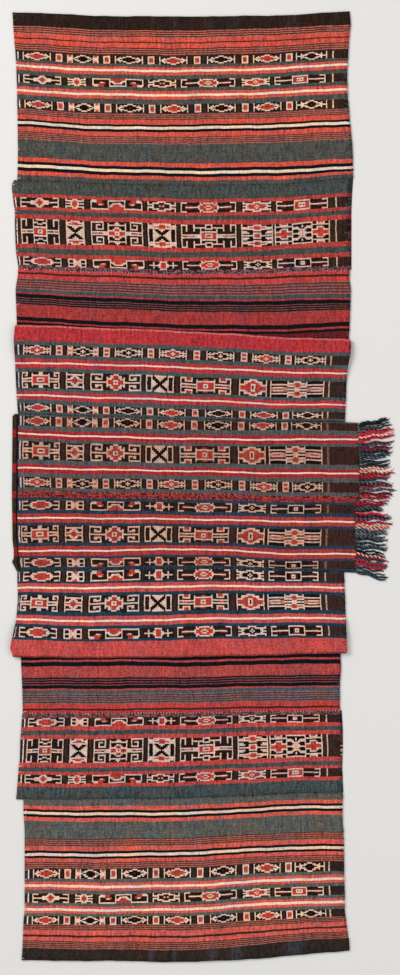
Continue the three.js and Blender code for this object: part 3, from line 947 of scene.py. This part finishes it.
def mesh_volume(mesh):
    """The volume inside a closed mesh, which is below zero when its faces point in."""
    mesh.calc_loop_triangles()
    place = np.empty(len(mesh.vertices) * 3)
    mesh.vertices.foreach_get("co", place)
    place = place.reshape(-1, 3)
    corners = np.empty(len(mesh.loop_triangles) * 3, dtype=np.int64)
    mesh.loop_triangles.foreach_get("vertices", corners)
    a, b, c = (place[corners.reshape(-1, 3)[:, k]] for k in range(3))
    return float(np.einsum("ij,ij->i", a, np.cross(b, c)).sum() / 6)


# The model's origin is under the middle of its box: find how far its own sizes were moved to get there
HEM_LEFT = -315
HEM_RIGHT = 241
low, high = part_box("hem_panel_upper")
hem_line = FLAT_PANELS["hem_panel_upper"]["lines"][0]
hem_top = float(heights_at(hem_line, np.array([HEM_RIGHT]))[0]) - SEAM_GAP / 2
SHIFT = np.array([low[0] - HEM_LEFT * MM, high[1] - hem_top * MM, 0.0])


def group(name, inputs, outputs):
    """A new shader node group with its sockets."""
    tree = bpy.data.node_groups.new(name, "ShaderNodeTree")
    for label, kind, value in inputs:
        socket = tree.interface.new_socket(label, in_out="INPUT", socket_type=kind)
        if value is not None:
            socket.default_value = value
    for label, kind in outputs:
        tree.interface.new_socket(label, in_out="OUTPUT", socket_type=kind)
    return tree, tree.nodes.new("NodeGroupInput"), tree.nodes.new("NodeGroupOutput")


def math_node(tree, operation, first, second=None, clamp=False):
    """A math node on one or two values, each of them a number or a socket."""
    node = tree.nodes.new("ShaderNodeMath")
    node.operation = operation
    node.use_clamp = clamp
    for slot, value in enumerate((first, second)):
        if isinstance(value, (int, float)):
            node.inputs[slot].default_value = value
        elif value is not None:
            tree.links.new(value, node.inputs[slot])
    return node.outputs[0]


def vector_node(tree, operation, first, second):
    """A vector math node on a socket and either another socket or three factors."""
    node = tree.nodes.new("ShaderNodeVectorMath")
    node.operation = operation
    tree.links.new(first, node.inputs[0])
    slot = node.inputs["Scale" if operation == "SCALE" else 1]
    if isinstance(second, tuple):
        slot.default_value = second
    else:
        tree.links.new(second, slot)
    return node.outputs["Vector"]


# The weave's noises: how often each varies in a metre across the cloth and up it, and its roughness
NOISES = {
    "wobble": (40, 300, 0.5),
    "streak": (14, 620, 0.5),
    "mottle": (290, 330, 0.75),
    "rib": (260, 60, 0.6),
    "fade": (26, 9, 0.6),
    "fine_hue": (210, 300, 0.7),
    "slow_hue": (24, 11, 0.6),
}
NOISE_DETAIL = 2.0


def noise(tree, place, name):
    """One of the weave's noises over place."""
    across, up, roughness = NOISES[name]
    node = tree.nodes.new("ShaderNodeTexNoise")
    node.inputs["Scale"].default_value = 1.0
    node.inputs["Detail"].default_value = NOISE_DETAIL
    node.inputs["Roughness"].default_value = roughness
    tree.links.new(vector_node(tree, "MULTIPLY", place, (across, up, 1)), node.inputs["Vector"])
    return node.outputs["Fac"]


YARN_PITCH = 0.0009
WEFT_PITCH = 0.0017
# How strongly each part of the weave counts, in its height, its tone and its tint
YARN_WOBBLE = 1.6
MOTTLE_HEIGHT = 1.2
STREAK_TONE = 0.6
FADE_TONE = 0.4
RIB_TONE = 0.7
SPOT_TONE = 4.0
# A faint painted highlight on each yarn's crest and painted shade in its hollows
CREST_HIGHLIGHT = 0.05
TINT_STEEP = 4.6
WARM_TINT = (1.16, 0.99, 0.86, 1)
COOL_TINT = (0.86, 1.01, 1.14, 1)


def weave_group():
    """Warp-faced weave: how high the yarns stand, how light each spot is, with a faint painted highlight on
    the yarns' crests, and how warm.
    """
    tree, given, made = group(
        "warp_faced_weave",
        [("Place", "NodeSocketVector", None), ("Yarn Pitch", "NodeSocketFloat", YARN_PITCH),
         ("Weft Pitch", "NodeSocketFloat", WEFT_PITCH), ("Mottle", "NodeSocketFloat", 0.3)],
        [("Height", "NodeSocketFloat"), ("Tone", "NodeSocketFloat"), ("Tint", "NodeSocketColor")],
    )
    place = given.outputs["Place"]

    def times(first, second):
        return math_node(tree, "MULTIPLY", first, second)

    def plus(first, second):
        return math_node(tree, "ADD", first, second)

    def less_half(value):
        return math_node(tree, "SUBTRACT", value, 0.5)

    apart = tree.nodes.new("ShaderNodeSeparateXYZ")
    tree.links.new(place, apart.inputs[0])
    warp = math_node(tree, "DIVIDE", apart.outputs["Y"], given.outputs["Yarn Pitch"])
    warp = plus(warp, times(noise(tree, place, "wobble"), YARN_WOBBLE))
    weft = math_node(tree, "DIVIDE", apart.outputs["X"], given.outputs["Weft Pitch"])
    crest = math_node(tree, "SINE", times(warp, 2 * math.pi))
    cross = math_node(tree, "SINE", times(weft, 2 * math.pi))
    mottle = noise(tree, place, "mottle")
    height = plus(times(crest, 0.5), times(times(crest, cross), 0.5))
    tree.links.new(plus(height, times(mottle, MOTTLE_HEIGHT)), made.inputs["Height"])
    streak = times(noise(tree, place, "streak"), STREAK_TONE)
    light = less_half(plus(streak, times(noise(tree, place, "fade"), FADE_TONE)))
    spots = plus(mottle, times(less_half(noise(tree, place, "rib")), RIB_TONE))
    spots = times(less_half(spots), given.outputs["Mottle"])
    # The crests add their painted highlight and shade to the tone
    light = plus(plus(light, times(spots, SPOT_TONE)), times(crest, CREST_HIGHLIGHT))
    tree.links.new(plus(light, 1.0), made.inputs["Tone"])
    hue = times(plus(noise(tree, place, "fine_hue"), noise(tree, place, "slow_hue")), 0.5)
    mixed = tree.nodes.new("ShaderNodeMix")
    mixed.data_type = "RGBA"
    mixed.inputs["A"].default_value = WARM_TINT
    mixed.inputs["B"].default_value = COOL_TINT
    steep = math_node(tree, "ADD", times(less_half(hue), TINT_STEEP), 0.5, clamp=True)
    tree.links.new(steep, mixed.inputs["Factor"])
    tree.links.new(mixed.outputs["Result"], made.inputs["Tint"])
    return tree


def cloth_material(name, mottle, rough=0.88, bump=0.00035):
    """Cloth coloured by its mesh's yarns, then toned and tinted by the weave. Dark yarns are mottled more."""
    material = bpy.data.materials.new(name)
    material.use_nodes = True
    tree = material.node_tree
    shader = tree.nodes["Principled BSDF"]
    colour = tree.nodes.new("ShaderNodeVertexColor")
    colour.layer_name = "yarn_colour"
    place = tree.nodes.new("ShaderNodeTexCoord")
    woven = tree.nodes.new("ShaderNodeGroup")
    woven.node_tree = WEAVE
    light = tree.nodes.new("ShaderNodeRGBToBW")
    tree.links.new(colour.outputs["Color"], light.inputs[0])
    dark = math_node(tree, "SUBTRACT", 1.0, light.outputs[0])
    tree.links.new(math_node(tree, "MULTIPLY", dark, mottle), woven.inputs["Mottle"])
    tree.links.new(place.outputs["Object"], woven.inputs["Place"])
    toned = vector_node(tree, "SCALE", colour.outputs["Color"], woven.outputs["Tone"])
    tinted = vector_node(tree, "MULTIPLY", toned, woven.outputs["Tint"])
    tree.links.new(tinted, shader.inputs["Base Color"])
    raised = tree.nodes.new("ShaderNodeBump")
    raised.inputs["Strength"].default_value = 0.6
    raised.inputs["Distance"].default_value = bump
    tree.links.new(woven.outputs["Height"], raised.inputs["Height"])
    tree.links.new(raised.outputs["Normal"], shader.inputs["Normal"])
    shader.inputs["Roughness"].default_value = rough
    shader.inputs["Specular IOR Level"].default_value = 0.05
    shader.inputs["Sheen Weight"].default_value = 0.03
    shader.inputs["Sheen Roughness"].default_value = 0.5
    return material


WEAVE = weave_group()
PANEL_SLOTS = {
    "hem_panel_upper": "bright_cloth",
    "band_panel_upper": "teal_cloth",
    "tuck_panel_upper": "crimson_cloth",
    "fringed_panel_upper": "crimson_cloth",
    "fringed_panel_lower": "blue_cloth",
    "tuck_panel_lower": "blue_cloth",
    "band_panel_lower": "teal_cloth",
    "hem_panel_lower": "bright_cloth",
}
MOTTLE = {"bright_cloth": 0.7, "teal_cloth": 0.76, "crimson_cloth": 0.62, "blue_cloth": 0.62}
MATERIALS = {slot: cloth_material(slot, mottle) for slot, mottle in MOTTLE.items()}
MATERIALS["fringe_yarn"] = cloth_material("fringe_yarn", 0.25, 0.92, 0.0003)

panel_rows = {name: flat_rows(name) for name in FLAT_PANELS}
panel_rows.update({name: tuck_rows(name) for name in TUCK_PANELS})
for node, slot in PANEL_SLOTS.items():
    piece = panel_mesh(node + "_cloth", node, panel_rows[node])
    piece.data.materials.append(MATERIALS[slot])
    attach(piece, "root")
    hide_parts(node)

# Fringe: twisted ends, in the same places as the model's strands, which fan out by a slope at each Y
STRANDS = 22
FAN = [(-142, -0.3), (-100, -0.09), (-20, 0), (60, 0.04), (106, 0.22)]
FRINGE_EDGES = {
    "upper": [(105, 254), (50, 256), (-19, 256)],
    "lower": [(-19, 249), (-84, 249), (-141, 248)],
}
# The fringe's yarns, down from each height, and how far its ends reach, as (Y, X)
FRINGE_YARNS = [
    (125, "grey"), (90, "red"), (86, "mixed"), (76, "red"), (72, "grey"), (65, "red"), (61, "grey"),
    (32, "mixed"), (15, "red"), (11, "grey"), (1, "red"), (-3, "grey"), (-8, "red"), (-18, "grey"),
    (-21, "red"), (-33, "grey"), (-42, "red"), (-46, "grey"), (-53, "red"), (-57, "mixed"), (-68, "grey"),
    (-107, "mixed"), (-114, "grey"), (-120, "red"), (-128, "blue"),
]
# The fringe's plies; the pale grey ones among the grey and blue strands are painted glints
FRINGE_PLIES = {
    "grey": [
        ("steel", "smoke"), ("smoke", "black"), ("steel", "black"), ("smoke", "glint_grey"), ("slate", "smoke"),
    ],
    "red": [("scarlet", "wine"), ("wine", "smoke"), ("scarlet", "scarlet"), ("scarlet", "smoke")],
    "mixed": [("sand", "scarlet"), ("scarlet", "wine"), ("sand", "wine"), ("scarlet", "smoke")],
    "blue": [("steel", "blue"), ("slate", "smoke"), ("steel", "smoke"), ("glint_grey", "blue")],
}
FRINGE_REACH = [
    (-160, 292), (-145, 298), (-136, 303), (-124, 301), (-110, 303), (-97, 300), (-80, 302), (-66, 305),
    (-56, 310), (-43, 302), (-31, 300), (-21, 307), (-11, 317), (0, 313), (12, 306), (23, 316), (31, 302),
    (53, 308), (69, 315), (78, 313), (91, 309), (102, 304), (122, 308),
]


def tube(path, radii, sides=5):
    """Points and faces of one closed tube along path."""
    path = np.asarray(path, float)
    along = np.gradient(path, axis=0)
    along /= np.linalg.norm(along, axis=1)[:, None]
    side = np.cross(along, (0.02, 0.03, 1.0))
    side /= np.linalg.norm(side, axis=1)[:, None]
    up = np.cross(side, along)
    turn = np.arange(sides) * 2 * math.pi / sides
    radii = np.broadcast_to(radii, len(path))
    points = []
    for i, centre in enumerate(path):
        ring = np.cos(turn)[:, None] * side[i] + np.sin(turn)[:, None] * up[i]
        points += list(centre + radii[i] * ring)
    faces = []
    for i in range(len(path) - 1):
        for k in range(sides):
            n = (k + 1) % sides
            faces.append((i * sides + k, i * sides + n, (i + 1) * sides + n, (i + 1) * sides + k))
    faces.append(tuple(range(sides - 1, -1, -1)))
    last = (len(path) - 1) * sides
    faces.append(tuple(last + k for k in range(sides)))
    return points, faces


class Bundle:
    """Many small tubes that make one mesh."""

    def __init__(self):
        self.points, self.faces, self.colours = [], [], []

    def add(self, shape, colour):
        points, faces = shape
        start = len(self.points)
        self.points += list(points)
        self.faces += [tuple(start + v for v in face) for face in faces]
        self.colours += [np.asarray(colour, float)] * len(faces)

    def build(self, name):
        return new_mesh(name, np.array(self.points) * MM + SHIFT, self.faces, self.colours)


PLY = 0.66  # a ply's radius
TWIST = 0.9  # its twist, in radians a millimetre
DROP_START = 3  # where a strand starts to come down from its layer, and where it lies on the floor
DROP_END = 16
STRAND_POINTS = 30
WAVE_WIDE = 1.3  # a strand's slow wave
WAVE_LONG = 5.2
WAVE_START = 10  # how far from the cloth the waves are full
STRAY = 1.6  # how far a tip strays
ROOT_SPREAD = (0.9, 1.45)  # how loose the plies are at the root, and from SPREAD_END on
SPREAD_END = 6
TONE_SPREAD = 0.16
TIP_HAIRS = 2
HAIR_RADII = (0.3, 0.28, 0.22, 0.12)
HAIR_LOW = 0.35


def tip_hair(tip):
    """A loose hair at the tip of a strand, sinking to the floor."""
    out = DICE.uniform(-0.7, 0.7)
    far = DICE.uniform(2.5, 6)
    share = np.linspace(0, 1, len(HAIR_RADII))
    high = np.maximum(HAIR_LOW, tip[2] * (1 - share))
    return tube(np.c_[tip[0] - 1 + far * share, tip[1] + out * far * share, high], HAIR_RADII, 4)


def strand(bundle, edge, root_y, base, reach, kind):
    """One twisted end: two plies, laid along a slightly wavy path, with a few loose hairs at its tip."""
    slope = np.interp(root_y, [one[0] for one in FAN], [one[1] for one in FAN])
    length = reach - edge
    run = np.linspace(0.15, length, STRAND_POINTS)
    part = run / length
    drop = smooth(np.clip((run - DROP_START) / (DROP_END - DROP_START), 0, 1))
    waves = WAVE_WIDE * np.sin(run / WAVE_LONG + root_y / 9 + DICE.uniform(0, 1.3))
    waves = waves + DICE.uniform(0.2, 0.7) * np.sin(run / DICE.uniform(1.6, 3) + DICE.uniform(0, 6))
    waves = waves * smooth(np.clip(run / WAVE_START, 0, 1)) + DICE.normal(0, STRAY) * part
    spread = np.interp(run, [0, SPREAD_END], ROOT_SPREAD) * DICE.uniform(0.85, 1.3)
    middle = np.c_[edge + run, root_y + slope * run + waves, base * (1 - drop) + spread * 1.2]
    radius = PLY * spread * np.interp(part, [0, 0.85, 1], [1, 1, 0.6])
    tone_shift = 1 + DICE.normal(0, TONE_SPREAD)
    start = DICE.uniform(0, 6)
    plies = FRINGE_PLIES[kind]
    for k, name in enumerate(plies[int(DICE.integers(len(plies)))]):
        a = start + math.pi * k + run * TWIST
        ply = middle + np.c_[np.zeros(len(run)), np.cos(a) * 0.6 * spread, np.sin(a) * 0.5 * spread]
        ply[:, 2] = np.maximum(ply[:, 2], radius + 0.02)
        colour = tone(YARNS[name]) * tone_shift
        bundle.add(tube(ply, radius), colour)
        for _ in range(TIP_HAIRS):
            bundle.add(tip_hair(ply[-1]), colour)


def fringe(node, part, base, phase):
    """The fringe of one layer of a fringed panel. phase places its strands between the other layer's."""
    bundle = Bundle()
    ends = FRINGE_EDGES[part]
    top, bottom = ends[0][0], ends[-1][0]
    for i in range(STRANDS):
        root_y = top + (bottom - top) * (i + phase) / STRANDS
        kind = [name for start, name in FRINGE_YARNS if root_y <= start][-1]
        reach = edge_at(FRINGE_REACH, root_y) + DICE.uniform(-9, 1)
        strand(bundle, edge_at(ends, root_y), root_y, base, reach, kind)
    piece = bundle.build(node + "_yarns")
    piece.data.materials.append(MATERIALS["fringe_yarn"])
    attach(piece, "root")
    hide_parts(node)
    return piece


for part in ("upper", "lower"):
    [
        fringe(f"fringe_{layer}_{part}", part, base, phase)
        for layer, base, phase in (("front", STEP, 0.25), ("back", 0.0, 0.75))
    ]

# Stitches along the seams: a seam's line and yarns, how far apart the stitches are and what share of them
# shows, half their height and width, the panel that they lie on, and the X at which they start and end
SEAMS = [
    (HEM_SEAM_UPPER, ("smoke", "slate"), 7.0, 0.5, 1.6, 0.8, "band_panel_upper", -306, 236),
    (BAND_SEAM_UPPER, ("dot", "dot"), 4.6, 0.85, 0.9, 0.6, "band_panel_upper", -300, 236),
    (TUCK_SEAM_UPPER, ("black", "slate"), 2.8, 0.8, 0.9, 0.7, "fringed_panel_upper", -300, 20),
    # Along its right part this seam gets close black stitches that draw the shade in the seam's gap: painted
    # shade
    (TUCK_SEAM_UPPER, ("black", "black"), 2.6, 0.95, 0.3, 1.5, "fringed_panel_upper", 10, 232),
    (MIDDLE_SEAM, ("maroon", "crimson"), 4.8, 0.8, 1.6, 0.8, "fringed_panel_upper", -300, 250),
    (TUCK_SEAM_LOWER, ("black", "slate"), 2.8, 0.85, 0.9, 0.7, "fringed_panel_lower", -300, 230),
    (BAND_SEAM_LOWER, ("dot", "sand"), 4.8, 0.85, 0.9, 0.6, "band_panel_lower", -292, 222),
    (HEM_SEAM_LOWER, ("smoke", "slate"), 7.0, 0.5, 1.6, 0.8, "hem_panel_lower", -292, 224),
]
FIRST_YARN = 0.6  # the share of a seam's stitches that are sewn with its first yarn
# Overcast stitches along the sides: side 1 is the right and -1 the left, then how far apart they are, what
# share of them shows, and their yarns
SIDES = [
    (1, 4.4, 0.9, ("black", "smoke", "smoke", "slate")),
    (-1, 8.0, 0.6, ("sand", "slate", "steel", "mauve")),
]
SEAM_RADIUS = 0.5
SIDE_RADIUS = 0.42
STITCH_LIFT = 0.5  # how far the middle of a stitch stands up, and how deep its ends sink
STITCH_SINK = 0.25


def upper_height(node, x, y):
    """The height of a panel's upper face near a place."""
    points = TOPS[node]
    near = np.hypot(points[:, 0] - x, points[:, 1] - y)
    close = points[near < max(near.min() + 0.5, 3.0)]
    return float(close[:, 2].max())


def stitch(bundle, node, start, end, radius, colour):
    """One stitch that stands a little off the cloth between its two holes."""
    share = np.linspace(0, 1, 5)
    x = start[0] + (end[0] - start[0]) * share
    y = start[1] + (end[1] - start[1]) * share
    cloth = upper_height(node, (start[0] + end[0]) / 2, (start[1] + end[1]) / 2)
    z = cloth + STITCH_LIFT * np.sin(math.pi * share) - STITCH_SINK
    bundle.add(tube(np.c_[x, y, z], radius), colour)


def over_edge(bundle, node, places, side, pitch, share, yarns):
    """Overcast stitches along one edge of a panel, whose places are given as (Y, X)."""
    y = places[0][0] + 3
    while y < places[-1][0] - 3:
        if DICE.random() < share:
            edge = edge_at(places, y) - 0.5 * side
            long = DICE.uniform(3.0, 5.5)
            slant = DICE.uniform(0.2, 1.6)
            colour = tone(YARNS[yarns[int(DICE.integers(len(yarns)))]])
            stitch(bundle, node, (edge - side * long, y + slant), (edge, y - slant), SIDE_RADIUS, colour)
        y += pitch * DICE.uniform(0.75, 1.25)


def edge_stitches():
    """The stitches along both sides of every panel that has no fringe."""
    bundle = Bundle()
    for node, rows in panel_rows.items():
        if node.startswith("fringed"):
            continue
        shown = [one for one in rows if one["face"][1] > 0.5]
        for side, pitch, share, yarns in SIDES:
            end, edge = (-1, "right") if side == 1 else (0, "left")
            places = sorted((one["heights"][end] + one["shift"], one[edge]) for one in shown)
            over_edge(bundle, node, places, side, pitch, share, yarns)
    return bundle.build("edge_stitches")


def seam_stitches():
    """The stitches along every seam."""
    bundle = Bundle()
    for heights, yarns, pitch, share, half_high, half_wide, node, left, right in SEAMS:
        x = float(left)
        while x < right:
            if DICE.random() < share:
                y = float(heights_at(heights, np.array([x]))[0]) + float(wander(x, heights[0]))
                high = half_high * DICE.uniform(0.8, 1.3)
                lean = half_wide * DICE.uniform(-1, 1) if high > 1 else half_wide
                colour = tone(YARNS[yarns[0 if DICE.random() < FIRST_YARN else 1]])
                stitch(bundle, node, (x - lean, y + high), (x + lean, y - high), SEAM_RADIUS, colour)
            x += pitch * DICE.uniform(0.85, 1.15)
    return bundle.build("seam_stitches")


for piece in (edge_stitches(), seam_stitches()):
    piece.data.materials.append(MATERIALS["fringe_yarn"])
    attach(piece, "root")


# Floor, lights and camera, in metres
FRAME_HIGH = 975  # the picture's height in pixels
PIXEL = 1.65 * MM
CAMERA_AWAY = 6.0
CAMERA_OVER = (-0.0066, -0.0015)
SENSOR = 36.0
FLOOR_REACH = 12.0
FLOOR_DROP = 0.0001


def stage_floor():
    material = bpy.data.materials.new("floor")
    material.use_nodes = True
    shader = material.node_tree.nodes["Principled BSDF"]
    shader.inputs["Base Color"].default_value = (0.78, 0.77, 0.75, 1)
    shader.inputs["Roughness"].default_value = 0.9
    around = ((-1, -1), (1, -1), (1, 1), (-1, 1))
    corners = [(x * FLOOR_REACH, y * FLOOR_REACH, -FLOOR_DROP) for x, y in around]
    floor = new_mesh("floor", corners, [(0, 1, 2, 3)])
    floor.data.materials.append(material)


def place_object(name, data, place):
    """A new object for a light or a camera."""
    holder = bpy.data.objects.new(name, data)
    holder.location = place
    bpy.context.scene.collection.objects.link(holder)
    return holder


def area_light(name, place, size, power):
    lamp = bpy.data.lights.new(name, "AREA")
    lamp.size = size
    lamp.energy = power
    holder = place_object(name, lamp, place)
    holder.rotation_euler = (-Vector(place)).to_track_quat("-Z", "Y").to_euler()


def camera():
    data = bpy.data.cameras.new("camera")
    data.sensor_width = SENSOR
    data.lens = SENSOR * CAMERA_AWAY / (FRAME_HIGH * PIXEL)
    bpy.context.scene.camera = place_object("camera", data, (*CAMERA_OVER, CAMERA_AWAY))


stage_floor()
area_light("key", (-2.2, 1.6, 3.0), 2.2, 95)
area_light("fill", (2.4, -1.2, 3.2), 3.0, 45)
camera()
world = bpy.data.worlds.new("studio")
world.use_nodes = True
background = world.node_tree.nodes["Background"]
background.inputs["Color"].default_value = (1, 1, 1, 1)
background.inputs["Strength"].default_value = 0.45
bpy.context.scene.world = world
bpy.context.scene.view_settings.view_transform = "Standard"
